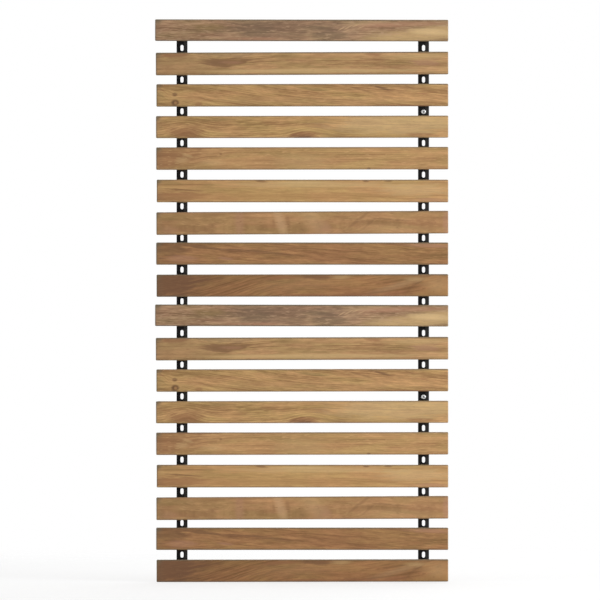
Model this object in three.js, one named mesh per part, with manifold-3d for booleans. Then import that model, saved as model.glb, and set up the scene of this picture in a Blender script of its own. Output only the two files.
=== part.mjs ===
// Garden privacy screen: hardwood slats screwed across two slotted steel uprights, fixed to a wall or posts.
//
// Millimetres. +X is to the right as seen from the garden, +Y points to the wall and +Z up.
// The origin is in the wall plane, in the middle of the width, level with the lower edge of the lowest row.

import * as THREE from 'three';
import { mergeVertices } from 'three/addons/utils/BufferGeometryUtils.js';
import Module from 'manifold-3d';

const wasm = await Module();
wasm.setup();

// ---------------------------------------------------------------- slats
const SLAT_COUNT = 18;
const SLAT_LENGTH = 800;
const SLAT_WIDTH = 62;
const SLAT_THICKNESS = 18;
// Daylight between two rows.
const SLAT_GAP = 24.8;
// From the middle of an upright to the end of the slats on its side.
const SLAT_OVERHANG = { left: 70.5, right: 67.5 };
// Rounding of the four long edges, and how much tighter the rounding of the ends is.
const SLAT_EDGE_RADIUS = 3;
const SLAT_END_TIGHTER = 0.5;
// A slat is turned a little in its row, so it keeps this distance from the upright behind it.
const SLAT_SEAT_GAP = 0.3;

// ---------------------------------------------------------------- uprights
// U-channels folded from sheet. The web carries the slats and the two flanges reach back to the wall.
const UPRIGHT_WIDTH = 30;
const UPRIGHT_DEPTH = 12;
const UPRIGHT_WALL = 2;
// Outside radius of the two folds.
const UPRIGHT_BEND_RADIUS = 3;
// An upright stops this far inside the outer edges of the first and the last row.
const UPRIGHT_END_INSET = 6;
// End to end. The width of a slot follows from the bolt.
const SLOT_LENGTH = 16.5;

// ---------------------------------------------------------------- screws, driven from behind
const SCREW_DIAMETER = 4;
const SCREW_HEAD_DIAMETER = 8;
const SCREW_HEAD_HEIGHT = 2.6;
// The pan head has an upright rim and a crown of this width on top.
const SCREW_HEAD_RIM_HEIGHT = 1.2;
const SCREW_CROWN_DIAMETER = 5.6;
const SCREW_CROWN_RISE = 0.3;
const SCREW_TIP_LENGTH = 4;
// Wood left between the end of a screw and the face of its slat.
const SCREW_COVER = 5;
// Room around a screw, in the hole of the upright and in the pilot hole of the slat.
const SCREW_CLEARANCE = 0.3;

// ---------------------------------------------------------------- button-head bolts with flange nuts
// Gaps of the right upright that hold a bolt, counted from the top, and how far it stands below their middle.
const BOLTED_GAPS = { upper: 3, lower: 12 };
const BOLT_DROP = 1.5;
const BOLT_DIAMETER = 8;
// A bolt has a round hole this much wider than itself, in place of the slot of its gap.
const BOLT_HOLE_CLEARANCE = 1;
const BOLT_HEAD_DIAMETER = 14;
const BOLT_HEAD_HEIGHT = 4.4;
// The button head has a low upright rim and a flat of this width around its socket.
const BOLT_HEAD_RIM_HEIGHT = 0.7;
const BOLT_HEAD_FLAT_DIAMETER = 7;
const BOLT_END_CHAMFER = 0.6;
const BOLT_SOCKET_ACROSS_FLATS = 5;
const BOLT_SOCKET_DEPTH = 2.6;
// A slot is this much wider than a bolt.
const SLOT_CLEARANCE = 0.5;
const NUT_ACROSS_FLATS = 13;
const NUT_HEIGHT = 8;
const NUT_FLANGE_DIAMETER = 17.9;
// Height of the flange at its rim, and where its slope meets the hexagon.
const NUT_FLANGE_RIM_HEIGHT = 0.8;
const NUT_FLANGE_HEIGHT = 3;
// Room between the bolt and the bore of its nut, all round.
const THREAD_CLEARANCE = 0.3;

// ---------------------------------------------------------------- how finely round shapes are divided
// Pairs of steps in each arc of an outline.
const SLAT_EDGE_STEPS = 2;
const BEND_STEPS = 2;
const SLOT_END_STEPS = 4;
// Steps in the rounding of a slat's ends and in the dome of a bolt's head.
const SLAT_END_STEPS = 2;
const DOME_STEPS = 4;
// Sides of a turned piece or a drilled hole.
const SCREW_SIDES = 10;
const BOLT_SIDES = 20;
const HEXAGON_SIDES = 6;
// A cutting tool reaches this far past the face that it cuts.
const CUT_PAST = 1;

// The slats come in sections of nine, and each one of a section sits in its own way: how far its middle
// is above the middle of its row, by how many degrees its right end is raised, how much narrower than the
// rest it is planed, how much longer it is sawn, which shows at its left end, and the tone of its wood.
const SECTION = [
  { lift: 4.5, tilt: -0.1, planed: 3, longer: 3, tone: 'greyed' },
  { lift: 0.5, tilt: 0.2, planed: 0, longer: 1, tone: 'honey' },
  { lift: 0.5, tilt: 0.1, planed: 0.5, longer: -0.5, tone: 'honey' },
  { lift: 0.5, tilt: 0.1, planed: 1.5, longer: 0.5, tone: 'light' },
  { lift: 1, tilt: 0.1, planed: 0.5, longer: 0, tone: 'honey' },
  { lift: -1.5, tilt: 0, planed: 0, longer: -1.5, tone: 'light' },
  { lift: -2, tilt: 0.3, planed: 0, longer: -0.5, tone: 'brown' },
  { lift: 0.5, tilt: 0, planed: 1, longer: 0, tone: 'russet' },
  { lift: 0, tilt: 0.1, planed: 1, longer: -1, tone: 'dark' },
];

const WOOD_TONES = {
  greyed: 0x997c5e,
  honey: 0xa98559,
  light: 0xb48e60,
  brown: 0xa27e56,
  russet: 0x97704d,
  dark: 0x916b48,
};

// ---------------------------------------------------------------- places that follow from the sizes
const ROW_PITCH = SLAT_WIDTH + SLAT_GAP;
const SIDES = {
  left: SLAT_OVERHANG.left - SLAT_LENGTH / 2,
  right: SLAT_LENGTH / 2 - SLAT_OVERHANG.right,
};
const WEB_FRONT_Y = -UPRIGHT_DEPTH;
const WEB_BACK_Y = -UPRIGHT_DEPTH + UPRIGHT_WALL;
const SLAT_BACK_Y = WEB_FRONT_Y - SLAT_SEAT_GAP;
const SLOT_WIDTH = BOLT_DIAMETER + SLOT_CLEARANCE;
const SCREW_REACH = UPRIGHT_WALL + SLAT_SEAT_GAP + SLAT_THICKNESS - SCREW_COVER;

// Height of the middle of a row; row 1 is the top one.
function rowHeight(row) {
  return SLAT_WIDTH / 2 + (SLAT_COUNT - row) * ROW_PITCH;
}

// Height of the middle of the gap under a row, where its slots have their middle.
function gapHeight(row) {
  return rowHeight(row) - ROW_PITCH / 2;
}

// ---------------------------------------------------------------- materials
function wood(tone) {
  return new THREE.MeshStandardMaterial({ color: WOOD_TONES[tone], roughness: 0.72, metalness: 0 });
}

function blackSteel() {
  return new THREE.MeshStandardMaterial({ color: 0x1e1e1f, roughness: 0.5, metalness: 0 });
}

function zincSteel() {
  return new THREE.MeshStandardMaterial({ color: 0xb9bbbd, roughness: 0.35, metalness: 1 });
}

// ---------------------------------------------------------------- joining and cutting
function toSolid(geometry) {
  const bare = geometry.clone();
  bare.deleteAttribute('normal');
  bare.deleteAttribute('uv');
  const merged = mergeVertices(bare);
  const vertProperties = new Float32Array(merged.attributes.position.array);
  const triVerts = new Uint32Array(merged.index.array);
  return new wasm.Manifold(new wasm.Mesh({ numProp: 3, vertProperties, triVerts }));
}

function toGeometry(solid) {
  const mesh = solid.getMesh();
  const geometry = new THREE.BufferGeometry();
  geometry.setAttribute('position', new THREE.BufferAttribute(mesh.vertProperties, 3));
  geometry.setIndex(new THREE.BufferAttribute(mesh.triVerts, 1));
  geometry.computeVertexNormals();
  return geometry;
}

function cut(geometry, tools) {
  const remaining = tools.reduce((solid, tool) => solid.subtract(toSolid(tool)), toSolid(geometry));
  return toGeometry(remaining);
}

// A round tool along Y between two depths.
function drill(radius, x, z, fromY, toY, sides) {
  const tool = new THREE.CylinderGeometry(radius, radius, toY - fromY, sides);
  tool.translate(x, (fromY + toY) / 2, z);
  return tool;
}

// ---------------------------------------------------------------- slats
function slatSection(width) {
  const r = SLAT_EDGE_RADIUS;
  const half = width / 2;
  const section = new THREE.Shape();
  section.absarc(half - r, -r, r, 0, Math.PI / 2);
  section.absarc(-half + r, -r, r, Math.PI / 2, Math.PI);
  section.absarc(-half + r, -SLAT_THICKNESS + r, r, Math.PI, Math.PI * 1.5);
  section.absarc(half - r, -SLAT_THICKNESS + r, r, Math.PI * 1.5, Math.PI * 2);
  return section;
}

// A slat about the middle of its back face, which looks along +Y.
function slatBlank(length, width) {
  const rounding = SLAT_EDGE_RADIUS - SLAT_END_TIGHTER;
  const blank = new THREE.ExtrudeGeometry(slatSection(width), {
    depth: length - 2 * rounding,
    curveSegments: SLAT_EDGE_STEPS,
    bevelThickness: rounding,
    bevelSize: rounding,
    bevelOffset: -rounding,
    bevelSegments: SLAT_END_STEPS,
  });
  blank.translate(0, 0, rounding - length / 2);
  blank.rotateY(Math.PI / 2);
  return blank;
}

// The pilot holes are where the uprights have theirs, however the slat lies in its row.
function makeSlat(row) {
  const seat = SECTION[(row - 1) % SECTION.length];
  const blank = slatBlank(SLAT_LENGTH + seat.longer, SLAT_WIDTH - seat.planed);
  const slat = new THREE.Mesh(blank, wood(seat.tone));
  slat.name = `slat_${String(row).padStart(2, '0')}`;
  slat.position.set(-seat.longer / 2, SLAT_BACK_Y, rowHeight(row) + seat.lift);
  slat.rotation.y = -THREE.MathUtils.degToRad(seat.tilt);
  slat.updateMatrixWorld();
  const bottomY = WEB_BACK_Y - SCREW_REACH - SCREW_CLEARANCE - SLAT_BACK_Y;
  const radius = SCREW_DIAMETER / 2 + SCREW_CLEARANCE;
  const pilots = Object.values(SIDES).map((x) => {
    const place = slat.worldToLocal(new THREE.Vector3(x, 0, rowHeight(row)));
    return drill(radius, place.x, place.z, bottomY, CUT_PAST, SCREW_SIDES);
  });
  slat.geometry = cut(slat.geometry, pilots);
  return slat;
}

// ---------------------------------------------------------------- uprights
function channelSection() {
  const outer = UPRIGHT_WIDTH / 2;
  const inner = outer - UPRIGHT_WALL;
  const bendX = outer - UPRIGHT_BEND_RADIUS;
  const bendY = WEB_FRONT_Y + UPRIGHT_BEND_RADIUS;
  const insideRadius = UPRIGHT_BEND_RADIUS - UPRIGHT_WALL;
  const section = new THREE.Shape();
  section.moveTo(outer, 0);
  section.lineTo(inner, 0);
  section.absarc(bendX, bendY, insideRadius, 0, -Math.PI / 2, true);
  section.absarc(-bendX, bendY, insideRadius, -Math.PI / 2, -Math.PI, true);
  section.lineTo(-inner, 0);
  section.lineTo(-outer, 0);
  section.absarc(-bendX, bendY, UPRIGHT_BEND_RADIUS, Math.PI, Math.PI * 1.5);
  section.absarc(bendX, bendY, UPRIGHT_BEND_RADIUS, Math.PI * 1.5, Math.PI * 2);
  return section;
}

// A slot with round ends, as a tool that passes through the web.
function slotTool(z) {
  const r = SLOT_WIDTH / 2;
  const straight = SLOT_LENGTH / 2 - r;
  const outline = new THREE.Shape();
  outline.absarc(0, straight, r, 0, Math.PI);
  outline.absarc(0, -straight, r, Math.PI, Math.PI * 2);
  const depth = UPRIGHT_WALL + 2 * CUT_PAST;
  const tool = new THREE.ExtrudeGeometry(outline, {
    depth,
    curveSegments: SLOT_END_STEPS,
    bevelEnabled: false,
  });
  tool.rotateX(Math.PI / 2);
  tool.translate(0, WEB_FRONT_Y - CUT_PAST + depth, z);
  return tool;
}

// A channel with a hole for the screw of each slat, and in each gap a slot or the round hole of a bolt.
function uprightGeometry(boltedGaps) {
  const bottom = UPRIGHT_END_INSET;
  const top = rowHeight(1) + SLAT_WIDTH / 2 - UPRIGHT_END_INSET;
  const channel = new THREE.ExtrudeGeometry(channelSection(), {
    depth: top - bottom,
    curveSegments: BEND_STEPS,
    bevelEnabled: false,
  });
  channel.translate(0, 0, bottom);
  const webDrill = (radius, z, sides) => {
    return drill(radius, 0, z, WEB_FRONT_Y - CUT_PAST, WEB_BACK_Y + CUT_PAST, sides);
  };
  const tools = [];
  for (let row = 1; row <= SLAT_COUNT; row += 1) {
    tools.push(webDrill(SCREW_DIAMETER / 2 + SCREW_CLEARANCE, rowHeight(row), SCREW_SIDES));
  }
  for (let gap = 1; gap < SLAT_COUNT; gap += 1) {
    if (boltedGaps.includes(gap)) {
      const radius = (BOLT_DIAMETER + BOLT_HOLE_CLEARANCE) / 2;
      tools.push(webDrill(radius, gapHeight(gap) - BOLT_DROP, BOLT_SIDES));
    } else {
      tools.push(slotTool(gapHeight(gap)));
    }
  }
  return cut(channel, tools);
}

// ---------------------------------------------------------------- screws
// A pan-head screw along Y, about the middle of the underside of its head, with its tip towards -Y.
function screwGeometry() {
  const shank = SCREW_DIAMETER / 2;
  const head = SCREW_HEAD_DIAMETER / 2;
  const profile = [
    new THREE.Vector2(0, -SCREW_REACH),
    new THREE.Vector2(shank, -SCREW_REACH + SCREW_TIP_LENGTH),
    new THREE.Vector2(shank, 0),
    new THREE.Vector2(head, 0),
    new THREE.Vector2(head, SCREW_HEAD_RIM_HEIGHT),
    new THREE.Vector2(SCREW_CROWN_DIAMETER / 2, SCREW_HEAD_HEIGHT - SCREW_CROWN_RISE),
    new THREE.Vector2(0, SCREW_HEAD_HEIGHT),
  ];
  return new THREE.LatheGeometry(profile, SCREW_SIDES);
}

// ---------------------------------------------------------------- bolts and nuts
// A button-head bolt along Y, about the middle of the underside of its head, with its head towards -Y.
function boltGeometry() {
  const shank = BOLT_DIAMETER / 2;
  const head = BOLT_HEAD_DIAMETER / 2;
  const end = UPRIGHT_WALL + NUT_HEIGHT;
  const dome = new THREE.QuadraticBezierCurve(
    new THREE.Vector2(BOLT_HEAD_FLAT_DIAMETER / 2, -BOLT_HEAD_HEIGHT),
    new THREE.Vector2(head, -BOLT_HEAD_HEIGHT),
    new THREE.Vector2(head, -BOLT_HEAD_RIM_HEIGHT),
  );
  const profile = [
    new THREE.Vector2(0, -BOLT_HEAD_HEIGHT),
    ...dome.getPoints(DOME_STEPS),
    new THREE.Vector2(head, 0),
    new THREE.Vector2(shank, 0),
    new THREE.Vector2(shank, end - BOLT_END_CHAMFER),
    new THREE.Vector2(shank - BOLT_END_CHAMFER, end),
    new THREE.Vector2(0, end),
  ];
  const blank = new THREE.LatheGeometry(profile, BOLT_SIDES);
  const corner = BOLT_SOCKET_ACROSS_FLATS / Math.sqrt(3);
  const socketTop = -BOLT_HEAD_HEIGHT + BOLT_SOCKET_DEPTH;
  const socket = drill(corner, 0, 0, -BOLT_HEAD_HEIGHT - CUT_PAST, socketTop, HEXAGON_SIDES);
  return cut(blank, [socket]);
}

// A hexagon nut with a flange along Y, about the middle of the seat of its flange, which looks along -Y.
function nutGeometry() {
  const corner = NUT_ACROSS_FLATS / Math.sqrt(3);
  const flange = NUT_FLANGE_DIAMETER / 2;
  const hexagon = new THREE.CylinderGeometry(corner, corner, NUT_HEIGHT, HEXAGON_SIDES);
  hexagon.translate(0, NUT_HEIGHT / 2, 0);
  const skirt = new THREE.LatheGeometry([
    new THREE.Vector2(0, 0),
    new THREE.Vector2(flange, 0),
    new THREE.Vector2(flange, NUT_FLANGE_RIM_HEIGHT),
    new THREE.Vector2(NUT_ACROSS_FLATS / 2, NUT_FLANGE_HEIGHT),
    new THREE.Vector2(0, NUT_FLANGE_HEIGHT),
  ], BOLT_SIDES);
  const whole = toGeometry(toSolid(hexagon).add(toSolid(skirt)));
  const radius = BOLT_DIAMETER / 2 + THREAD_CLEARANCE;
  const bore = drill(radius, 0, 0, -CUT_PAST, NUT_HEIGHT + CUT_PAST, BOLT_SIDES);
  return cut(whole, [bore]);
}

// ---------------------------------------------------------------- the screen
function place(name, geometry, material, x, y, z) {
  const mesh = new THREE.Mesh(geometry, material);
  mesh.name = name;
  mesh.position.set(x, y, z);
  return mesh;
}

const screen = new THREE.Group();
const uprights = new THREE.Group();
const slats = new THREE.Group();
const fasteners = new THREE.Group();
screen.add(uprights, slats, fasteners);

const screw = screwGeometry();
for (const [side, x] of Object.entries(SIDES)) {
  const channel = uprightGeometry(side === 'right' ? Object.values(BOLTED_GAPS) : []);
  uprights.add(place(`upright_${side}`, channel, blackSteel(), x, 0, 0));
  for (let row = 1; row <= SLAT_COUNT; row += 1) {
    const name = `slat_screw_${side}_${String(row).padStart(2, '0')}`;
    fasteners.add(place(name, screw, zincSteel(), x, WEB_BACK_Y, rowHeight(row)));
  }
}

for (let row = 1; row <= SLAT_COUNT; row += 1) {
  slats.add(makeSlat(row));
}

const bolt = boltGeometry();
const nut = nutGeometry();
for (const [level, gap] of Object.entries(BOLTED_GAPS)) {
  const z = gapHeight(gap) - BOLT_DROP;
  fasteners.add(place(`fixing_bolt_${level}`, bolt, zincSteel(), SIDES.right, WEB_FRONT_Y, z));
  fasteners.add(place(`fixing_nut_${level}`, nut, zincSteel(), SIDES.right, WEB_BACK_Y, z));
}

export default screen;
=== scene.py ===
# The looks of a slatted garden privacy screen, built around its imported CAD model.
#
# Metres, in the CAD's frame: +X is to the right as seen from the garden, +Y points to the wall and +Z up.
# The wall plane is Y = 0 and the lower edge of the lowest row is Z = 0.

import math
from dataclasses import dataclass, field

import bmesh
import bpy
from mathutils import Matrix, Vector


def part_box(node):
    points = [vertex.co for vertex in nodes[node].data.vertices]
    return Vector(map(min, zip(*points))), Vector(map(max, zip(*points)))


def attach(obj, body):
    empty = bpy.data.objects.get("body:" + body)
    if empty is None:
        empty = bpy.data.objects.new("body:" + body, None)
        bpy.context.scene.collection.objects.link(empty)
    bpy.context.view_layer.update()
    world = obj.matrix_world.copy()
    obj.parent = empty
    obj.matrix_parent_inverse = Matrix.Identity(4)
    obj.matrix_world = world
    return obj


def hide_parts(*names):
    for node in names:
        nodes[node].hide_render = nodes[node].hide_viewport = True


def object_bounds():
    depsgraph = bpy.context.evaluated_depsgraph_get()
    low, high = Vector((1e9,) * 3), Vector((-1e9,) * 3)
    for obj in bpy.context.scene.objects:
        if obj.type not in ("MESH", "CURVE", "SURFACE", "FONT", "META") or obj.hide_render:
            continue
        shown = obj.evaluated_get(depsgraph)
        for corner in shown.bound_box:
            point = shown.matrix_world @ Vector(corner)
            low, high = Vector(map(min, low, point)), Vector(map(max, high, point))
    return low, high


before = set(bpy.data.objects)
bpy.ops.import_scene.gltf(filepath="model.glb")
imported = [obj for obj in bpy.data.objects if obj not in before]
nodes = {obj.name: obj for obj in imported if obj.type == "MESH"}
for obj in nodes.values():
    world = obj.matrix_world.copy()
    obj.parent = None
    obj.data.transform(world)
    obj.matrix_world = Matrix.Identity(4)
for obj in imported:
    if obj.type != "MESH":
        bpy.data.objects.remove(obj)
cad_low, cad_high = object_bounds()

MM = 0.001
SLAT_COUNT = 18
BOARDS_IN_A_SECTION = 9


# ---------------------------------------------------------------- shader graphs
class Graph:
    """A node tree with short calls. A value is a number, a tuple or another node's output."""

    def __init__(self, tree):
        self.tree = tree
        tree.nodes.clear()

    def feed(self, socket, value):
        if isinstance(value, bpy.types.NodeSocket):
            self.tree.links.new(value, socket)
        else:
            socket.default_value = value

    def node(self, kind, inputs=None, **settings):
        made = self.tree.nodes.new(kind)
        for name, value in settings.items():
            setattr(made, name, value)
        for name, value in (inputs or {}).items():
            self.feed(made.inputs[name], value)
        return made

    def math(self, operation, *values):
        return self.node("ShaderNodeMath", dict(enumerate(values)), operation=operation).outputs[0]

    def add(self, *values):
        total = values[0]
        for value in values[1:]:
            total = self.math("ADD", total, value)
        return total

    def subtract(self, a, b):
        return self.math("SUBTRACT", a, b)

    def times(self, a, b):
        return self.math("MULTIPLY", a, b)

    def vector_math(self, operation, *values, output="Vector"):
        made = self.node("ShaderNodeVectorMath", dict(enumerate(values)), operation=operation)
        return made.outputs[output]

    def split(self, vector):
        return self.node("ShaderNodeSeparateXYZ", {"Vector": vector}).outputs

    def join(self, x, y, z):
        return self.node("ShaderNodeCombineXYZ", {"X": x, "Y": y, "Z": z}).outputs[0]

    def step(self, value, low, high):
        """0 at low, 1 at high and smooth between them; low may be the larger."""
        made = self.node(
            "ShaderNodeMapRange",
            {"Value": value, "From Min": low, "From Max": high},
            interpolation_type="SMOOTHSTEP",
        )
        return made.outputs[0]

    def noise(self, place, scale=1.0, detail=2.0, roughness=0.5):
        made = self.node(
            "ShaderNodeTexNoise",
            {"Vector": place, "Scale": scale, "Detail": detail, "Roughness": roughness},
        )
        return made.outputs[0]

    def mix(self, share, a, b, blend="MIX"):
        made = self.node("ShaderNodeMix", {0: share, 6: a, 7: b}, data_type="RGBA", blend_type=blend)
        return made.outputs[2]


def new_material(name):
    material = bpy.data.materials.new(name)
    material.use_nodes = True
    return material, Graph(material.node_tree)


def finish_material(graph, settings):
    """Ends a graph with a Principled shader that has these inputs."""
    shader = graph.node("ShaderNodeBsdfPrincipled", settings)
    graph.node("ShaderNodeOutputMaterial", {"Surface": shader.outputs[0]})


def new_group(name, inputs, outputs):
    """A node group with (name, type) sockets. Returns it with its graph and its inputs by name."""
    group = bpy.data.node_groups.new(name, "ShaderNodeTree")
    graph = Graph(group)
    for title, kind in inputs:
        group.interface.new_socket(title, in_out="INPUT", socket_type=f"NodeSocket{kind}")
    for title in outputs:
        group.interface.new_socket(title, in_out="OUTPUT", socket_type="NodeSocketFloat")
    return group, graph, graph.node("NodeGroupInput").outputs


def colour(hexadecimal):
    """A linear colour from an sRGB one such as 0xA98559."""

    def linear(byte):
        share = byte / 255
        return share / 12.92 if share <= 0.04045 else ((share + 0.055) / 1.055) ** 2.4

    return (*(linear(hexadecimal >> shift & 255) for shift in (16, 8, 0)), 1.0)


def shaded(base, shade):
    """A colour times a shade, which is its share of red, green and blue."""
    return (*(channel * share for channel, share in zip(base, shade)), 1.0)


def grey(value):
    return (value, value, value, 1.0)


# ---------------------------------------------------------------- wood
# Where the rim of a patch lies, as a share of its half length and half width.
SPOT_RIM = 0.81
# How high the grain waves, and how many rings it is out of step where it is most uneven.
SLOW_WAVE = 16 * MM
QUICK_WAVE = 4.5 * MM
UNEVEN_YEARS = 2.4


def spot_group():
    """How near a point is to a soft ellipse on the face of a slat, as a plateau and as a bell."""
    group, graph, given = new_group(
        "spot",
        [
            ("Place", "Vector"),
            ("Centre", "Vector"),
            ("Reach", "Vector"),
            ("Slope", "Float"),
            ("Rag", "Float"),
            ("Softness", "Float"),
        ],
        ["Patch", "Bell"],
    )
    away = graph.split(graph.vector_math("SUBTRACT", given["Place"], given["Centre"]))
    across = graph.subtract(away[2], graph.times(away[0], given["Slope"]))
    flat = graph.join(away[0], 0.0, across)
    distance = graph.vector_math("LENGTH", graph.vector_math("DIVIDE", flat, given["Reach"]), output="Value")
    past_rim = graph.subtract(graph.add(distance, given["Rag"]), SPOT_RIM)
    from_rim = graph.math("DIVIDE", past_rim, given["Softness"])
    squared = graph.math("POWER", distance, 2.0)
    bell = graph.math("EXPONENT", graph.times(squared, -1.0))
    graph.node("NodeGroupOutput", {"Patch": graph.step(from_rim, 1.0, -1.0), "Bell": bell})
    return group


def grain_group():
    """The grain of a sawn slat: rings about a pith that runs beside it, and the streaks and pores along them.

    Place is in metres from the middle of the slat's front face: X along it, Y into it and Z across it.
    """
    group, graph, given = new_group(
        "grain",
        [
            ("Place", "Vector"),
            ("Pull", "Float"),
            ("Lean", "Float"),
            ("Pith Height", "Float"),
            ("Pith Depth", "Float"),
            ("Ring Width", "Float"),
            ("Waviness", "Float"),
            ("Seed", "Float"),
        ],
        ["Rings", "Bands", "Streaks", "Fibres", "Flecks", "Pores", "Rays", "Cloud"],
    )
    x, y, z = graph.split(given["Place"])
    seed = graph.join(given["Seed"], graph.times(given["Seed"], 1.7), graph.times(given["Seed"], -2.3))

    def along(cycles_x, cycles_y, cycles_z, detail=1.0):
        stretched = graph.vector_math("MULTIPLY", given["Place"], (cycles_x, cycles_y, cycles_z))
        return graph.noise(graph.vector_math("ADD", stretched, seed), detail=detail)

    slow_wave = graph.times(graph.subtract(along(2.4, 9.0, 14.0), 0.5), SLOW_WAVE)
    quick_wave = graph.times(graph.subtract(along(11.0, 24.0, 34.0), 0.5), QUICK_WAVE)
    waves = graph.times(graph.add(slow_wave, quick_wave), given["Waviness"])
    height = graph.add(graph.subtract(z, graph.times(x, given["Lean"])), given["Pull"], waves)
    from_pith = graph.join(
        graph.subtract(height, given["Pith Height"]), graph.subtract(y, given["Pith Depth"]), 0.0
    )
    radius = graph.vector_math("LENGTH", from_pith, output="Value")

    def layered(cycles_x, cycles_radius, detail, roughness=0.55):
        """Noise that follows the rings."""
        place = graph.join(
            graph.times(x, cycles_x), graph.times(radius, cycles_radius), graph.times(y, cycles_radius * 0.2)
        )
        return graph.noise(graph.vector_math("ADD", place, seed), detail=detail, roughness=roughness)

    years = graph.math("DIVIDE", radius, given["Ring Width"])
    uneven = graph.noise(graph.vector_math("ADD", graph.join(graph.times(years, 0.4), 0.0, 0.0), seed))
    years = graph.add(years, graph.times(uneven, UNEVEN_YEARS))
    # A ring darkens slowly towards its outer side and ends there at once. Some rings show more than others.
    part = graph.math("FRACT", years)
    line = graph.times(graph.step(part, 0.25, 0.86), graph.step(part, 1.0, 0.9))
    each = graph.noise(
        graph.vector_math("ADD", graph.join(graph.times(years, 1.3), graph.times(x, 5.0), 0.0), seed)
    )
    rings = graph.times(line, graph.step(each, 0.3, 0.72))

    # The vessels of the wood show as short dark dashes, most of them in the pale part of a ring.
    vessels = graph.times(graph.step(layered(70.0, 1500.0, 1.0), 0.6, 0.74), graph.step(part, 0.95, 0.2))
    graph.node(
        "NodeGroupOutput",
        {
            "Rings": rings,
            "Bands": layered(3.5, 70.0, 2.0),
            "Streaks": layered(24.0, 190.0, 4.0, 0.6),
            "Fibres": layered(60.0, 1000.0, 2.0),
            "Flecks": graph.step(layered(34.0, 260.0, 1.0), 0.58, 0.74),
            "Pores": vessels,
            "Rays": graph.step(along(48.0, 30.0, 340.0), 0.6, 0.7),
            "Cloud": along(9.0, 40.0, 45.0, 3.0),
        },
    )
    return group


SPOT = spot_group()
GRAIN = grain_group()

# Tones of the stained and knotty places on the boards, and of the painted shade on their edges.
TONES = {
    "knot": colour(0x5E3F28),
    "umber": colour(0x6E4C33),
    "dark brown": colour(0x83603F),
    "red brown": colour(0x8C5E3F),
    "rose": colour(0xA87C60),
    "grey brown": colour(0x7E6850),
    "dark grey": colour(0x705A48),
    "olive": colour(0x8C7346),
    "gold": colour(0xC0A06F),
    "pale gold": colour(0xCDAE7E),
    "pale": colour(0xC9A57C),
    "amber": colour(0xAC8252),
    "sawn": colour(0xC2AA8E),
    # Painted shade for the eased edges and the left ends.
    "weathered": colour(0x665A45),
}


@dataclass
class Patch:
    """A place of another tone, in millimetres from the middle of the slat to the right and up. It rises by
    its slope for each millimetre to the right. Softness is how far its rim fades to either side, as a share
    of its size."""

    tone: str
    right: float
    up: float
    half_length: float
    half_width: float
    slope: float
    strength: float
    softness: float = 0.35


@dataclass
class Pull:
    """A place that the grain bends round, drawn down by so many millimetres, or up where that is negative."""

    right: float
    up: float
    half_length: float
    half_width: float
    by: float
    slope: float = 0.0


@dataclass
class Board:
    """The wood of one slat. The pith is where the rings are centred: how far above the slat's middle, and
    how far behind its front face, in millimetres. Contrast is that of its rings and bands, and fine that of
    its streaks and fibres. Rays is how much its pale ray flecks show, and weathered how dark the
    painted shade on its long edges is."""

    tone: tuple
    seed: float
    pith_up: float
    pith_behind: float
    lean: float = 0.0
    ring_width: float = 4.5
    waviness: float = 1.0
    contrast: float = 1.0
    fine: float = 1.0
    rays: float = 0.1
    weathered: float = 0.6
    patches: list = field(default_factory=list)
    pulls: list = field(default_factory=list)


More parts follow.
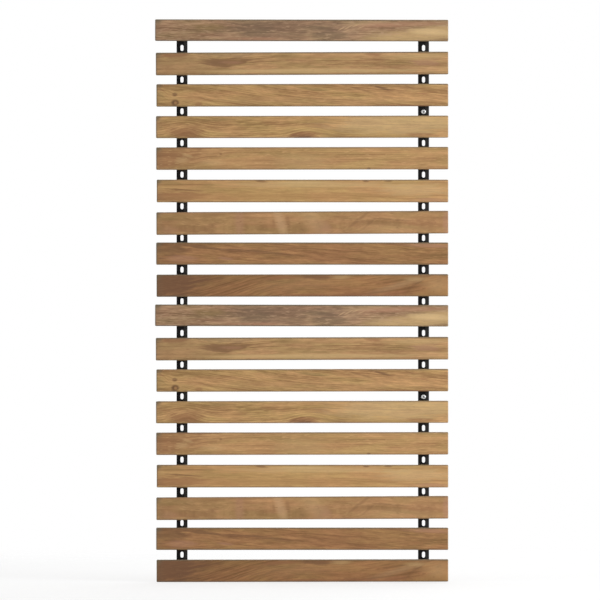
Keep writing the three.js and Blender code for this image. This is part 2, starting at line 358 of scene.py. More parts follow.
BOARDS = [
    Board(
        tone=colour(0x9A7C5E),
        seed=3.1,
        pith_up=-70,
        pith_behind=45,
        fine=1.2,
        rays=0.5,
        weathered=0.95,
        patches=[
            Patch("dark grey", -60, 6, 190, 40, 0.0, 0.42, 0.5),
            Patch("dark grey", -125, 2, 56, 40, 0.0, 0.35, 0.6),
            Patch("rose", -130, -24, 90, 5, 0.0, 0.7),
            Patch("gold", 325, -12, 190, 23, 0.12, 0.75),
            Patch("pale gold", 350, -3, 66, 10, -0.04, 0.75),
            Patch("rose", 280, 17, 150, 7, 0.03, 0.6),
            Patch("olive", -255, 9, 50, 12, 0.0, 0.4),
            Patch("umber", -270, -12, 45, 4, 0.0, 0.5),
            Patch("pale", 135, 5, 30, 16, 0.2, 0.25),
            Patch("dark grey", 84, -6, 68, 34, 0.0, 0.46, 0.6),
            Patch("pale", 108, 5, 11, 2.2, 0.5, 0.6, 0.5),
            Patch("pale", 127, 9, 13, 2.2, 0.5, 0.6, 0.5),
            Patch("pale", 146, 13, 12, 2.2, 0.4, 0.6, 0.5),
            Patch("pale", 162, 9, 10, 2.0, 0.4, 0.5, 0.5),
            Patch("pale", 120, -2, 10, 2.0, 0.3, 0.5, 0.5),
        ],
        pulls=[Pull(-270, -8, 70, 20, 4)],
    ),
    Board(
        tone=colour(0xA9875C),
        seed=11.4,
        pith_up=110,
        pith_behind=60,
        waviness=0.7,
        fine=0.7,
        weathered=0.8,
        patches=[
            Patch("red brown", -258, 5, 48, 6, 0.0, 0.4),
            Patch("dark brown", -212, 3, 76, 14, 0.02, 0.95, 0.25),
            Patch("umber", -232, 1, 30, 6, 0.0, 0.35),
            Patch("dark brown", -160, 9, 42, 4.5, 0.1, 0.7),
            Patch("rose", -196, 3, 34, 5, 0.0, 0.4),
            Patch("olive", -228, -15, 44, 4, -0.03, 0.6),
            Patch("gold", -190, -22, 90, 4, 0.0, 0.35),
            Patch("red brown", -350, 25, 52, 8, 0.08, 0.8),
            Patch("grey brown", -330, 2, 100, 30, 0.0, 0.3, 0.6),
            Patch("amber", -330, 0, 90, 30, 0.0, 0.25, 0.6),
            Patch("dark brown", -230, -6, 60, 22, 0.0, 0.25, 0.7),
            Patch("grey brown", -200, 24, 90, 9, 0.0, 0.35),
            Patch("gold", 40, -20, 330, 7, 0.0, 0.7),
            Patch("olive", 35, -9, 60, 4, -0.03, 0.6),
            Patch("red brown", 165, 4, 90, 7, 0.0, 0.35),
            Patch("rose", 335, 2, 46, 11, 0.0, 0.55),
            Patch("gold", 320, 19, 100, 7, 0.0, 0.5),
            Patch("red brown", 195, 24, 28, 4, 0.0, 0.6),
        ],
        pulls=[Pull(-195, 6, 75, 22, 11), Pull(340, 6, 50, 15, 5)],
    ),
    Board(
        tone=colour(0xAC885A),
        seed=23.8,
        pith_up=-150,
        pith_behind=30,
        lean=-0.1,
        ring_width=5.0,
        fine=0.85,
        rays=0.25,
        patches=[
            Patch("knot", -349, 2, 8, 6, 0.0, 0.75, 0.45),
            Patch("red brown", -350, 2, 3, 2.5, 0.0, 0.35),
            Patch("knot", -348, -20, 12.5, 10, 0.0, 0.9, 0.35),
            Patch("amber", -347, -21, 5, 5, 0.0, 0.65, 0.5),
            Patch("olive", 30, 17, 55, 4, -0.1, 0.7),
            Patch("umber", 212, 21, 36, 4, -0.25, 0.75),
            Patch("red brown", -284, -24, 12, 6, 0.0, 0.5),
            Patch("gold", 40, -15, 330, 13, 0.0, 0.12, 0.5),
            Patch("dark brown", 160, 15, 40, 2.6, -0.26, 0.5),
            Patch("dark brown", 291, 23, 20, 2.4, -0.35, 0.5),
            Patch("red brown", 331, 4, 18, 3, 0.0, 0.45),
            Patch("olive", -393, 4, 30, 3, -0.7, 0.5),
            Patch("red brown", -378, 10, 24, 2.2, -0.8, 0.4),
            Patch("red brown", 280, -28, 90, 3, -0.02, 0.6),
        ],
        pulls=[Pull(-348, 3, 22, 11, 7), Pull(-348, -21, 30, 12, -7), Pull(-20, 0, 160, 60, 9)],
    ),
    Board(
        tone=colour(0xB08D5D),
        seed=37.2,
        pith_up=-110,
        pith_behind=20,
        ring_width=6.0,
        waviness=0.9,
        fine=0.9,
        rays=0.2,
        patches=[
            Patch("red brown", -318, -14, 62, 19, 0.0, 0.55),
            Patch("red brown", 4, -23, 48, 12, 0.0, 0.75),
            Patch("umber", -4, -28, 38, 8, 0.0, 0.6),
            Patch("red brown", 40, 4, 50, 7, 0.0, 0.45),
            Patch("pale gold", 250, 8, 210, 34, 0.0, 0.5),
            Patch("red brown", 325, -23, 55, 6, 0.0, 0.55),
            Patch("olive", -225, 20, 40, 6, 0.0, 0.5),
        ],
        pulls=[Pull(-318, -6, 48, 30, -18), Pull(20, -22, 60, 32, -18), Pull(230, -25, 60, 22, -7)],
    ),
    Board(
        tone=colour(0xAD895B),
        seed=41.9,
        pith_up=160,
        pith_behind=20,
        waviness=0.8,
        contrast=0.9,
        fine=0.48,
        rays=0.4,
        patches=[
            Patch("red brown", -370, 4, 96, 40, 0.0, 0.55, 0.7),
            Patch("dark brown", -310, 0, 110, 40, 0.0, 0.14, 0.7),
            Patch("red brown", -290, 29, 90, 5, 0.0, 0.7),
            Patch("gold", -330, -5, 20, 9, 0.1, 0.45, 0.5),
            Patch("gold", -314, 8, 17, 5, -0.3, 0.45, 0.5),
            Patch("gold", -245, -12, 35, 9, 0.0, 0.35),
            Patch("umber", -223, 12, 4.5, 3, 0.0, 0.5),
            Patch("umber", 182, -28, 6, 3, 0.0, 0.9),
            Patch("gold", 0, -8, 80, 22, 0.0, 0.3),
        ],
        pulls=[Pull(-310, 0, 30, 14, 8), Pull(-60, 4, 20, 30, 5)],
    ),
    Board(
        tone=colour(0xB5905F),
        seed=59.6,
        pith_up=-130,
        pith_behind=60,
        waviness=0.6,
        contrast=0.8,
        fine=0.45,
        patches=[
            Patch("red brown", -350, -16, 110, 16, 0.02, 0.65),
            Patch("olive", -370, 23, 60, 7, -0.08, 0.5),
            Patch("amber", -60, -16, 320, 15, 0.0, 0.5),
            Patch("umber", -330, 3, 64, 2.4, -0.05, 0.55),
            Patch("umber", -112, 26, 20, 4, -0.1, 0.55),
            Patch("pale gold", -10, 23, 80, 4, 0.0, 0.5),
            Patch("umber", 175, 27, 10, 3, 0.0, 0.7),
            Patch("umber", 235, 27, 14, 3, 0.0, 0.6),
            Patch("gold", 30, 17, 260, 9, 0.0, 0.6),
            Patch("pale gold", 310, 4, 110, 20, 0.0, 0.4),
            Patch("rose", 360, -24, 60, 5, 0.0, 0.5),
        ],
        pulls=[Pull(-110, 24, 40, 12, 6), Pull(250, 0, 90, 30, 5)],
    ),
    Board(
        tone=colour(0xA58056),
        seed=67.3,
        pith_up=-10,
        pith_behind=-48,
        ring_width=6.5,
        waviness=1.3,
        contrast=0.5,
        fine=0.55,
        rays=0.25,
        patches=[
            Patch("pale", 36, 0, 40, 36, -0.8, 0.25, 0.7),
            Patch("rose", -172, 0, 14, 50, -0.4, 0.45, 0.5),
            Patch("dark brown", -335, 8, 150, 60, 0.0, 0.2, 0.6),
            Patch("olive", -345, 18, 60, 9, 0.0, 0.4, 0.5),
            Patch("rose", -365, -18, 26, 12, 0.0, 0.3, 0.5),
            Patch("dark brown", -245, -6, 6, 4, 0.0, 0.4, 0.5),
            Patch("pale", -60, 2, 22, 36, -1.8, 0.4, 0.6),
            Patch("dark brown", -38, -2, 7, 20, -1.8, 0.35, 0.6),
            Patch("dark brown", -78, 0, 5, 14, -1.8, 0.3, 0.6),
            Patch("dark brown", 0, -19, 6, 4, -0.4, 0.45),
            Patch("rose", 66, -14, 16, 14, 0.0, 0.35, 0.5),
            Patch("dark brown", 150, 4, 32, 6, 0.77, 0.55, 0.55),
            Patch("dark brown", 180, -6, 26, 4.5, 0.8, 0.4, 0.55),
            Patch("dark brown", 180, 2, 18, 7, 0.0, 0.3, 0.6),
            Patch("dark brown", 262, 7, 80, 2.6, -0.07, 0.5),
            Patch("gold", 250, -16, 90, 14, 0.0, 0.2, 0.5),
            Patch("red brown", 340, -4, 80, 10, -0.06, 0.3, 0.5),
            Patch("rose", 397, -3, 14, 45, 0.0, 0.6),
        ],
        pulls=[Pull(195, -26, 70, 34, -22), Pull(-20, -30, 80, 34, 14), Pull(-260, 0, 60, 20, 5)],
    ),
    Board(
        tone=colour(0x956F47),
        seed=71.5,
        pith_up=190,
        pith_behind=50,
        lean=-0.06,
        waviness=0.6,
        weathered=0.8,
        patches=[
            Patch("umber", -300, 0, 120, 40, 0.0, 0.12, 0.7),
            Patch("umber", -278, 18, 66, 5, -0.09, 0.65),
            Patch("umber", -185, 9, 62, 4, -0.05, 0.45),
            Patch("umber", -85, 1, 75, 5, -0.12, 0.5),
            Patch("umber", -370, 12, 70, 24, 0.0, 0.5),
            Patch("rose", -330, -14, 45, 10, 0.0, 0.5),
            Patch("rose", -210, -14, 24, 5, -0.1, 0.5),
            Patch("rose", 350, 22, 80, 7, -0.04, 0.6),
            Patch("red brown", 120, 0, 170, 34, 0.0, 0.22),
        ],
        pulls=[Pull(330, 6, 60, 16, 6)],
    ),
    Board(
        tone=colour(0x8F6942),
        seed=83.7,
        pith_up=-70,
        pith_behind=-35,
        lean=0.15,
        ring_width=5.5,
        waviness=0.9,
        fine=0.8,
        weathered=0.8,
        patches=[
            Patch("umber", -368, 6, 128, 60, 0.3, 0.9),
            Patch("umber", -290, 0, 100, 46, 0.3, 0.25, 0.7),
            Patch("gold", -10, 6, 120, 26, 0.05, 0.12, 0.6),
            Patch("umber", 40, 24, 50, 8, 0.0, 0.6),
            Patch("red brown", -60, 21, 60, 6, 0.05, 0.5),
            Patch("gold", 105, 23, 28, 7, 0.0, 0.4, 0.6),
            Patch("dark brown", -130, -9, 60, 3, 0.15, 0.45),
            Patch("dark brown", 30, 0, 110, 2.5, 0.0, 0.4),
            Patch("pale", 262, 0, 80, 9, 0.3, 0.22, 0.8),
            Patch("gold", 306, 18, 28, 6, 0.0, 0.35, 0.6),
            Patch("red brown", 250, -21, 40, 6, 0.1, 0.5),
            Patch("umber", 316, 6, 22, 3, 0.5, 0.4),
            Patch("gold", 372, 0, 44, 24, 0.0, 0.3, 0.6),
            Patch("red brown", 100, -26, 190, 5, 0.0, 0.55),
        ],
        pulls=[Pull(-60, 0, 150, 60, -28)],
    ),
]


def spot(graph, place, mark, rag=0.0, softness=1.0):
    """A Patch's plateau and a Pull's bell. Only the plateau depends on rag and softness."""
    made = graph.node("ShaderNodeGroup", node_tree=SPOT)
    settings = {
        "Place": place,
        "Centre": (mark.right * MM, 0.0, mark.up * MM),
        "Reach": (mark.half_length * MM, 1.0, mark.half_width * MM),
        "Slope": mark.slope,
        "Rag": rag,
        "Softness": softness,
    }
    for name, value in settings.items():
        graph.feed(made.inputs[name], value)
    return made.outputs


# The wood's level goes from dark, 0, to pale, 1. Each part of the grain moves it by its weight.
MIDDLE_LEVEL = 0.55
BANDS_WEIGHT = 1.6
RINGS_WEIGHT = -0.5
STREAKS_WEIGHT = 2.0
FIBRES_WEIGHT = 0.7
FLECKS_WEIGHT = 0.3

# Shades of a board's own tone.
DARK_SHADE = (0.64, 0.59, 0.54)
PALE_SHADE = (1.33, 1.35, 1.36)
PORE_SHADE = (0.42, 0.36, 0.3)
RAY_SHADE = (1.45, 1.5, 1.6)
END_GRAIN_SHADE = (0.42, 0.4, 0.42)
COOLER = (0.97, 1.0, 0.93, 1.0)
WARMER = (1.05, 0.98, 1.0, 1.0)

# How much of each shows.
PORES_SHOW = 0.5
END_GRAIN_SHOWS = 0.55
SAWN_EDGE_SHOWS = 0.5
STREAKS_IN_PATCHES = 0.19

# Bands along the edges of a slat: how far in from the edge each one starts, and where it is full.
LONG_EDGE = (4.8 * MM, 2.4 * MM)
RIGHT_EDGE = (2.5 * MM, 0.5 * MM)
LEFT_EDGE = (5.6 * MM, 2.0 * MM)
LEFT_END = (26.0 * MM, 6.0 * MM)
# Painted shade on the left ends: darkest at their edges and upper corners, and a little for some way in.
LEFT_EDGE_SHADE = 0.3
LEFT_END_SHADE = 0.11
UPPER_CORNER_SHADE = Patch("weathered", -401, 27, 16, 12, 0.0, 0.8, 0.6)

# Patches at least this long, in millimetres to either side of their middle, have fully frayed rims.
FRAYS_FROM = 40.0
FRAY = 1.6


def mean_height(vertices):
    heights = [v.co.z for v in vertices]
    return sum(heights) / len(heights)


def slat_slope(node):
    """How far a slat rises for each metre to the right."""
    vertices = nodes[node].data.vertices
    low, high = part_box(node)
    near_end = 5 * MM
    left = mean_height([v for v in vertices if v.co.x < low.x + near_end])
    right = mean_height([v for v in vertices if v.co.x > high.x - near_end])
    return (right - left) / (high.x - low.x)


def wood(node, board):
    """Oiled hardwood as one slat shows it, with painted shade on its eased long edges and left ends, and
    darker end grain.
    """
    material, graph = new_material(f"wood_{node}")
    low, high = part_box(node)
    middle = (low + high) / 2

    slope = slat_slope(node)
    half_width = max(abs(v.co.z - middle.z - slope * v.co.x) for v in nodes[node].data.vertices)

    x, y, z = graph.split(graph.node("ShaderNodeTexCoord").outputs["Object"])
    rise = graph.add(graph.times(x, slope), middle.z)
    place = graph.join(x, graph.subtract(y, low.y), graph.subtract(z, rise))

    pull = 0.0
    for mark in board.pulls:
        pull = graph.add(pull, graph.times(spot(graph, place, mark)["Bell"], mark.by * MM))

    grain = graph.node("ShaderNodeGroup", node_tree=GRAIN)
    settings = {
        "Place": place,
        "Pull": pull,
        "Lean": board.lean,
        "Pith Height": board.pith_up * MM,
        "Pith Depth": board.pith_behind * MM,
        "Ring Width": board.ring_width * MM,
        "Waviness": board.waviness,
        "Seed": board.seed,
    }
    for name, value in settings.items():
        graph.feed(grain.inputs[name], value)
    parts = ("Rings", "Bands", "Streaks", "Fibres", "Flecks", "Pores", "Rays", "Cloud")
    rings, bands, streaks, fibres, flecks, pores, rays, cloud = (grain.outputs[part] for part in parts)

    level = graph.add(
        MIDDLE_LEVEL,
        graph.times(graph.subtract(bands, 0.5), BANDS_WEIGHT * board.contrast),
        graph.times(graph.subtract(streaks, 0.5), STREAKS_WEIGHT * board.fine),
        graph.times(graph.subtract(fibres, 0.5), FIBRES_WEIGHT * board.fine),
        graph.times(flecks, FLECKS_WEIGHT * board.fine),
        graph.times(rings, RINGS_WEIGHT * board.contrast),
    )
    level = graph.math("MINIMUM", graph.math("MAXIMUM", level, 0.0), 1.0)
    base = graph.mix(level, shaded(board.tone, DARK_SHADE), shaded(board.tone, PALE_SHADE))
    warm = graph.mix(graph.step(cloud, 0.35, 0.65), COOLER, WARMER)
    base = graph.mix(1.0, base, warm, "MULTIPLY")

    ragged = graph.times(graph.subtract(streaks, 0.5), FRAY)
    depth = STREAKS_IN_PATCHES * board.fine
    streaked = graph.mix(streaks, grey(1 - depth), grey(1 + depth))
    for mark in (*board.patches, UPPER_CORNER_SHADE):
        # A knot keeps its round outline, and a long stain frays along the grain.
        fray = graph.times(ragged, min(1.0, mark.half_length / FRAYS_FROM))
        share = graph.times(spot(graph, place, mark, fray, mark.softness)["Patch"], mark.strength)
        tone = graph.mix(1.0, streaked, TONES[mark.tone], "MULTIPLY")
        base = graph.mix(share, base, tone)
    base = graph.mix(graph.times(pores, PORES_SHOW), base, shaded(board.tone, PORE_SHADE))
    base = graph.mix(graph.times(rays, board.rays), base, shaded(board.tone, RAY_SHADE))

    # Ends show the cut pores, which soak up more oil. The right edges are freshly sawn.
    sideways = graph.split(graph.node("ShaderNodeNewGeometry").outputs["Normal"])[0]
    end_grain = graph.step(graph.math("ABSOLUTE", sideways), 0.75, 0.95)
    base = graph.mix(graph.times(end_grain, END_GRAIN_SHOWS), base, shaded(board.tone, END_GRAIN_SHADE))
    right_edge = graph.step(x, *(high.x - inward for inward in RIGHT_EDGE))
    base = graph.mix(graph.times(right_edge, SAWN_EDGE_SHOWS), base, TONES["sawn"])

    # The long edges get painted shade, uneven, and darker on the upper one than on the lower one.
    across = graph.split(place)[2]
    long_edge = graph.step(graph.math("ABSOLUTE", across), *(half_width - inward for inward in LONG_EDGE))
    upper = graph.step(across, -5 * MM, 5 * MM)
    uneven = graph.times(graph.step(bands, 0.15, 0.55), graph.add(0.7, graph.times(upper, 0.3)))
    long_edge = graph.times(long_edge, graph.times(uneven, board.weathered))
    # The left ends get painted shade as well: a dark line at the edge and a faint band further in.
    left_edge = graph.times(graph.step(x, *(low.x + inward for inward in LEFT_EDGE)), LEFT_EDGE_SHADE)
    left_end = graph.times(graph.step(x, *(low.x + inward for inward in LEFT_END)), LEFT_END_SHADE)
    weathered = graph.math("MAXIMUM", long_edge, graph.add(left_edge, left_end))
    # Painted shade: the edges and left ends are mixed towards a dark tone.
    base = graph.mix(weathered, base, TONES["weathered"])

    relief = graph.add(
        graph.times(fibres, 0.35),
        graph.times(streaks, 0.3),
        graph.times(rings, 0.2),
        graph.times(pores, -0.6),
    )
    bump = graph.node("ShaderNodeBump", {"Strength": 0.5, "Distance": 0.25 * MM, "Height": relief})
    finish_material(
        graph,
        {
            "Base Color": base,
            "Roughness": graph.add(0.56, graph.times(fibres, 0.12), graph.times(rings, 0.08)),
            "Specular IOR Level": 0.3,
            "Normal": bump.outputs[0],
        },
    )
    return material


# ---------------------------------------------------------------- metal
COAT_DARK = (0.0052, 0.0048, 0.0048, 1.0)
COAT_PALE = (0.0105, 0.0098, 0.0096, 1.0)
DUST = (0.05, 0.047, 0.042, 1.0)
# A painted sheen: a paler band to the right of the slots stands in for light from the right on the web. It
# fades in and out between these distances from the middle.
PAINTED_SHEEN = (0.034, 0.033, 0.032, 1.0)
PAINTED_SHEEN_LEFT = (3.0 * MM, 7.0 * MM)
PAINTED_SHEEN_RIGHT = (14.5 * MM, 12.0 * MM)
TARNISH_SHADE = (0.6, 0.55, 0.5)


def powder_coat(node):
    """Black satin powder coat with its fine orange peel, some dust, and a painted sheen band to the right of
    the slots.
    """
    material, graph = new_material(f"black_powder_coat_{node}")
    low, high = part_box(node)
    middle = (low.x + high.x) / 2
    place = graph.node("ShaderNodeTexCoord").outputs["Object"]
    x = graph.split(place)[0]
    peel = graph.noise(place, 900.0, 2.0)
    grit = graph.noise(place, 3200.0, 1.0)
    patchy = graph.noise(place, 18.0, 4.0, 0.6)
    dust = graph.noise(place, 140.0, 3.0, 0.6)
    base = graph.mix(graph.step(patchy, 0.3, 0.7), COAT_DARK, COAT_PALE)
    base = graph.mix(graph.times(graph.step(dust, 0.58, 0.8), 0.25), base, DUST)
    # Painted sheen: a paler band to the right of the slots.
    sheen_left = graph.step(x, *(middle + away for away in PAINTED_SHEEN_LEFT))
    sheen_right = graph.step(x, *(middle + away for away in PAINTED_SHEEN_RIGHT))
    sheen_share = graph.times(graph.times(sheen_left, sheen_right), graph.add(0.35, graph.times(patchy, 0.9)))
    base = graph.mix(sheen_share, base, PAINTED_SHEEN)
    relief = graph.add(graph.times(peel, 0.8), graph.times(grit, 0.2))
    bump = graph.node("ShaderNodeBump", {"Strength": 0.35, "Distance": 0.12 * MM, "Height": relief})
    finish_material(
        graph,
        {
            "Base Color": base,
            "Roughness": graph.add(0.38, graph.times(patchy, 0.16), graph.times(dust, 0.08)),
            "Specular IOR Level": 0.07,
            "Normal": bump.outputs[0],
        },
    )
    return material


def zinc(name, dull, bright):
    """Zinc plating between two tones, a little tarnished in spots."""
    material, graph = new_material(name)
    place = graph.node("ShaderNodeTexCoord").outputs["Object"]
    haze = graph.noise(place, 260.0, 4.0, 0.6)
    spots = graph.noise(place, 1400.0, 2.0)
    base = graph.mix(graph.step(haze, 0.3, 0.7), dull, bright)
    base = graph.mix(graph.times(graph.step(spots, 0.6, 0.75), 0.4), base, shaded(dull, TARNISH_SHADE))
    bump = graph.node("ShaderNodeBump", {"Strength": 0.25, "Distance": 0.05 * MM, "Height": spots})
    finish_material(
        graph,
        {
            "Base Color": base,
            "Metallic": 1.0,
            "Roughness": graph.add(0.4, graph.times(haze, 0.2)),
            "Normal": bump.outputs[0],
        },
    )
    return material


for row in range(1, SLAT_COUNT + 1):
    name = f"slat_{row:02d}"
    nodes[name].material_slots[0].material = wood(name, BOARDS[(row - 1) % BOARDS_IN_A_SECTION])

ZINC = zinc("bright_zinc", colour(0xBABCBE), colour(0xDADCDD))
# A drive recess has a darker, duller zinc than the rest of its head.
RECESS = zinc("recessed_zinc", colour(0x6A6A68), colour(0x8C8C8A))
for name in ("upright_left", "upright_right"):
    nodes[name].material_slots[0].material = powder_coat(name)


# ---------------------------------------------------------------- fasteners
# Edges that turn by more than this stay sharp.
SHARP_FROM = math.radians(35)
RINGS_IN_A_TURN = 6


def loft(name, rings, sides, closed=False, recess_rings=0):
    """A body along Y through rings of (depth, radius) in millimetres. A radius may depend on the angle.

    Its two ends are capped, or joined to each other if it is closed. The last rings are those of its recess.
    """
    mesh = bmesh.new()
    loops = []
    for depth, radius in rings:
        loop = []
        for step in range(sides):
            angle = 2 * math.pi * step / sides
            reach = radius(angle) if callable(radius) else radius
            point = Vector((reach * math.cos(angle), depth, reach * math.sin(angle)))
            loop.append(mesh.verts.new(point * MM))
        loops.append(loop)
    followers = loops[1:] + loops[:1] if closed else loops[1:]
    first_recess = len(loops) - recess_rings
    for number, (loop, after) in enumerate(zip(loops, followers)):
        for step in range(sides):
            further = (step + 1) % sides
            face = mesh.faces.new((loop[step], loop[further], after[further], after[step]))
            face.material_index = int(number >= first_recess)
    if not closed:
        mesh.faces.new(loops[0])
        mesh.faces.new(loops[-1]).material_index = int(recess_rings > 0)
    bmesh.ops.recalc_face_normals(mesh, faces=mesh.faces)
    data = bpy.data.meshes.new(name)
    mesh.to_mesh(data)
    mesh.free()
    data.polygons.foreach_set("use_smooth", [True] * len(data.polygons))
    data.set_sharp_from_angle(angle=SHARP_FROM)
    data.materials.append(ZINC)
    data.materials.append(RECESS)
    return data


def hexagon(across_flats):
    """The radius of a hexagon at an angle."""

    def radius(angle):
        from_flat = (angle + math.pi / 6) % (math.pi / 3) - math.pi / 6
        return across_flats / 2 / math.cos(from_flat)

    return radius


def thread(depth, pitch, root, crest):
    """The radius of a screw thread at a depth and an angle."""

    def radius(angle):
        turn = (depth / pitch + angle / (2 * math.pi)) % 1.0
        return root + (crest - root) * max(0.0, 1 - abs(turn - 0.5) / 0.42)

    return radius


def threaded(start, end, pitch, root, crest):
    """Rings of a thread from one depth to another, with its root and crest radii."""
    count = max(2, round(abs(end - start) / pitch * RINGS_IN_A_TURN))
    rings = []
    for step in range(count + 1):
        depth = start + (end - start) * step / count
        rings.append((depth, thread(depth, pitch, root, crest)))
    return rings


def cross_recess(arm, half_width):
    """The radius of a cross at an angle."""

    def radius(angle):
        from_arm = abs((angle + math.pi / 4) % (math.pi / 2) - math.pi / 4)
        if math.tan(from_arm) <= half_width / arm + 1e-6:
            return arm / math.cos(from_arm)
        return half_width / math.sin(from_arm)

    return radius


def scaled(shape, share):
    return lambda angle: shape(angle) * share


# Lengths of a wood screw in millimetres, and the pitch and radii of its thread.
SCREW_TIP = -15.3
SCREW_TAPER = 4.0
SCREW_THREAD_END = -2.6
SCREW_PITCH = 1.8
SCREW_ROOT = 1.35
SCREW_CREST = 2.0
M8_PITCH = 1.25


def screw_mesh():
    """A pan-head wood screw about the middle of the underside of its head, with its tip towards -Y."""
    sides = 24
    taper_steps = 12
    rings = [(SCREW_TIP, 0.06)]
    for step in range(1, taper_steps + 1):
        share = step / taper_steps
        depth = SCREW_TIP + SCREW_TAPER * share
        rings.append((depth, thread(depth, SCREW_PITCH, SCREW_ROOT * share, SCREW_CREST * share)))
    taper_end = SCREW_TIP + SCREW_TAPER
    rings += threaded(taper_end, SCREW_THREAD_END, SCREW_PITCH, SCREW_ROOT, SCREW_CREST)[1:]
    rings += [(-2.3, 1.7), (-0.2, 1.7), (0.0, 1.9), (0.0, 3.85), (0.12, 4.0), (1.1, 4.0)]
    rings += [(1.5, 3.86), (1.86, 3.52), (2.16, 3.05), (2.38, 2.62), (2.46, 2.34)]
    # At 24 sides the corners of an arm fall on its first points to either side.
    arm = 2.1
    recess = cross_recess(arm, arm * math.tan(math.pi / 12))
    rings += [(2.5, recess), (2.1, scaled(recess, 0.93)), (0.9, scaled(recess, 0.55)), (0.7, 0.2)]
    return loft("slat_screw", rings, sides, recess_rings=4)


def bolt_mesh():
    """A button-head bolt about the middle of the underside of its head, with its head towards -Y."""
    sides = 48
    rings = [(10.0, 3.3), (9.4, 3.9)]
    rings += threaded(9.2, 1.2, M8_PITCH, 3.35, 4.0)
    rings += [(0.9, 3.95), (0.3, 3.98), (0.0, 4.0), (0.0, 6.6), (-0.12, 6.88), (-0.35, 7.0), (-0.7, 7.0)]
    # The dome is a parabola from the rim to the flat round the socket.
    dome_steps = 10
    for step in range(1, dome_steps + 1):
        share = step / dome_steps
        radius = 7.0 - 3.5 * share * share
        depth = -0.7 - 3.7 * (1 - (1 - share) ** 2)
        rings.append((depth, radius))
    socket = hexagon(5.0)
    rings += [(-4.4, 3.25), (-4.2, 3.02), (-4.05, socket), (-1.9, socket)]
    rings += [(-1.6, scaled(socket, 0.75)), (-1.3, 0.25)]
    return loft("fixing_bolt", rings, sides, recess_rings=5)


def nut_mesh():
    """A hexagon nut with a flange about the middle of its seat, which looks along -Y."""
    sides = 48
    outside = hexagon(13.0)
    rings = [(0.0, 8.4), (0.2, 8.8), (0.45, 8.95), (0.8, 8.9)]
    for step in range(9):
        depth = 1.0 + 0.3 * step
        cone = 8.85 - 1.0 * (depth - 0.8)
        rings.append((depth, lambda angle, cone=cone: max(outside(angle), cone)))
    rings.append((6.8, outside))
    for step in range(5):
        depth = 7.0 + 0.25 * step
        cone = 7.5 - 1.25 * (depth - 7.0)
        rings.append((depth, lambda angle, cone=cone: min(outside(angle), cone)))
    rings += [(8.0, 5.0), (7.6, 4.72)]
    rings += threaded(7.4, 0.6, M8_PITCH, 4.75, 4.32)
    rings += [(0.4, 4.72), (0.0, 5.0)]
    return loft("fixing_nut", rings, sides, closed=True)


def fasten(node, mesh, seat):
    """Puts a fastener where the CAD has its node. Its seat, in millimetres, is counted from the node's front,
    or from the back where it is negative."""
    low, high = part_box(node)
    piece = bpy.data.objects.new(f"{node}_detailed", mesh)
    depth = low.y + seat * MM if seat >= 0 else high.y + seat * MM
    piece.location = ((low.x + high.x) / 2, depth, (low.z + high.z) / 2)
    bpy.context.scene.collection.objects.link(piece)
    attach(piece, "root")
    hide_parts(node)


SCREW_SEAT = -2.6
BOLT_SEAT = 4.4
NUT_SEAT = 0.0

SCREW = screw_mesh()
for side in ("left", "right"):
    for row in range(1, SLAT_COUNT + 1):
        fasten(f"slat_screw_{side}_{row:02d}", SCREW, SCREW_SEAT)
BOLT = bolt_mesh()
NUT = nut_mesh()
for place in ("upper", "lower"):
    fasten(f"fixing_bolt_{place}", BOLT, BOLT_SEAT)
    fasten(f"fixing_nut_{place}", NUT, NUT_SEAT)


# ---------------------------------------------------------------- studio
WHITE = grey(1.0)
FLOOR_SIZE = 16.0
FLOOR_FADES_FROM = 1.3
FLOOR_FADES_TO = 3.6
FLOOR_DARK = grey(0.88)
FLOOR_PALE = grey(0.92)
# How much of what the camera sees of the floor is plain white. The rest keeps the shadow.
FLOOR_WHITENED = 0.66
WORLD_FILL = 0.34
CAMERA_DISTANCE = 25.0
SENSOR = 36.0
# How much the photograph shows from side to side at the front faces of the slats, and where its middle looks.
VIEW_WIDTH = 1.6433
VIEW_CENTRE = Vector((-0.0061, 0.0, 0.7724))
# What the lamps are aimed at.
PANEL_MIDDLE = (0.0, 0.0, 0.77)
PANEL_FOOT = (0.0, 0.0, 0.0)


def seen_directly(graph):
    """1 for the camera and for what gloss and glass show of the surroundings."""
    ray = graph.node("ShaderNodeLightPath").outputs
    seen = graph.math("MAXIMUM", ray["Is Camera Ray"], ray["Is Glossy Ray"])
    return graph.math("MAXIMUM", seen, ray["Is Transmission Ray"])


def studio_floor():
    """A pale floor that keeps the object's shadow, and fades into the white all round."""
    material, graph = new_material("studio_floor")
    place = graph.node("ShaderNodeTexCoord").outputs["Object"]
    distance = graph.vector_math("LENGTH", place, output="Value")
    faded = graph.step(distance, FLOOR_FADES_FROM, FLOOR_FADES_TO)
    speckle = graph.noise(place, 60.0, 3.0)
    base = graph.mix(speckle, FLOOR_DARK, FLOOR_PALE)
    plain = graph.node(
        "ShaderNodeBsdfPrincipled",
        {"Base Color": base, "Roughness": 0.8, "Specular IOR Level": 0.1},
    )
    white = graph.node("ShaderNodeEmission", {"Color": WHITE, "Strength": 1.0})
    whitened = graph.times(seen_directly(graph), FLOOR_WHITENED)
    lit = graph.node("ShaderNodeMixShader", {0: whitened, 1: plain.outputs[0], 2: white.outputs[0]})
    clear = graph.node("ShaderNodeBsdfTransparent")
    both = graph.node("ShaderNodeMixShader", {0: faded, 1: lit.outputs[0], 2: clear.outputs[0]})
    graph.node("ShaderNodeOutputMaterial", {"Surface": both.outputs[0]})
    half = FLOOR_SIZE / 2
    corners = [(-half, -half, 0), (half, -half, 0), (half, half, 0), (-half, half, 0)]
    mesh = bpy.data.meshes.new("studio_floor")
    mesh.from_pydata(corners, [], [(0, 1, 2, 3)])
    mesh.materials.append(material)
    floor = bpy.data.objects.new("studio_floor", mesh)
    floor.location.z = cad_low.z
    bpy.context.scene.collection.objects.link(floor)


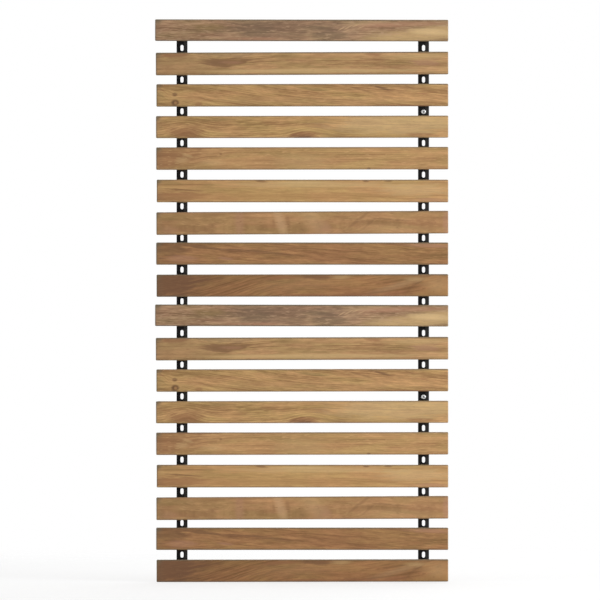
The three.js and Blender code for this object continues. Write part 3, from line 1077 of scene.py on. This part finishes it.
def soft_lamp(name, location, target, size, power):
    """A square lamp with sides of this size in metres and this power in watts."""
    lamp = bpy.data.lights.new(name, "AREA")
    lamp.shape = "SQUARE"
    lamp.size = size
    lamp.energy = power
    holder = bpy.data.objects.new(name, lamp)
    holder.location = location
    holder.rotation_euler = (Vector(target) - Vector(location)).to_track_quat("-Z", "Y").to_euler()
    holder.visible_camera = False
    bpy.context.scene.collection.objects.link(holder)


def studio_world():
    """White where the camera, gloss or glass looks past the object, and a plain fill for the rest."""
    world = bpy.data.worlds.new("studio")
    world.use_nodes = True
    bpy.context.scene.world = world
    graph = Graph(world.node_tree)
    seen = seen_directly(graph)
    fill = graph.node("ShaderNodeBackground", {"Color": WHITE, "Strength": WORLD_FILL})
    white = graph.node("ShaderNodeBackground", {"Color": WHITE, "Strength": 1.0})
    both = graph.node("ShaderNodeMixShader", {0: seen, 1: fill.outputs[0], 2: white.outputs[0]})
    graph.node("ShaderNodeOutputWorld", {"Surface": both.outputs[0]})


def studio_camera():
    """A long lens from far away, because the photograph shows next to no perspective."""
    data = bpy.data.cameras.new("camera")
    data.sensor_width = SENSOR
    data.lens = SENSOR * CAMERA_DISTANCE / VIEW_WIDTH
    data.clip_end = 100.0
    camera = bpy.data.objects.new("camera", data)
    camera.location = (VIEW_CENTRE.x, cad_low.y - CAMERA_DISTANCE, VIEW_CENTRE.z)
    camera.rotation_euler = (math.pi / 2, 0.0, 0.0)
    bpy.context.scene.collection.objects.link(camera)
    bpy.context.scene.camera = camera


studio_floor()
studio_world()
studio_camera()
soft_lamp("key", (3.0, -3.0, 1.5), PANEL_MIDDLE, size=2.4, power=113.0)
soft_lamp("fill", (-3.5, -3.5, 1.2), PANEL_MIDDLE, size=2.4, power=8.0)
soft_lamp("top", (0.0, 0.0, 5.0), PANEL_FOOT, size=4.0, power=120.0)
soft_lamp("back", (1.0, 4.5, 2.6), PANEL_MIDDLE, size=2.5, power=80.0)

bpy.context.scene.view_settings.view_transform = "Standard"
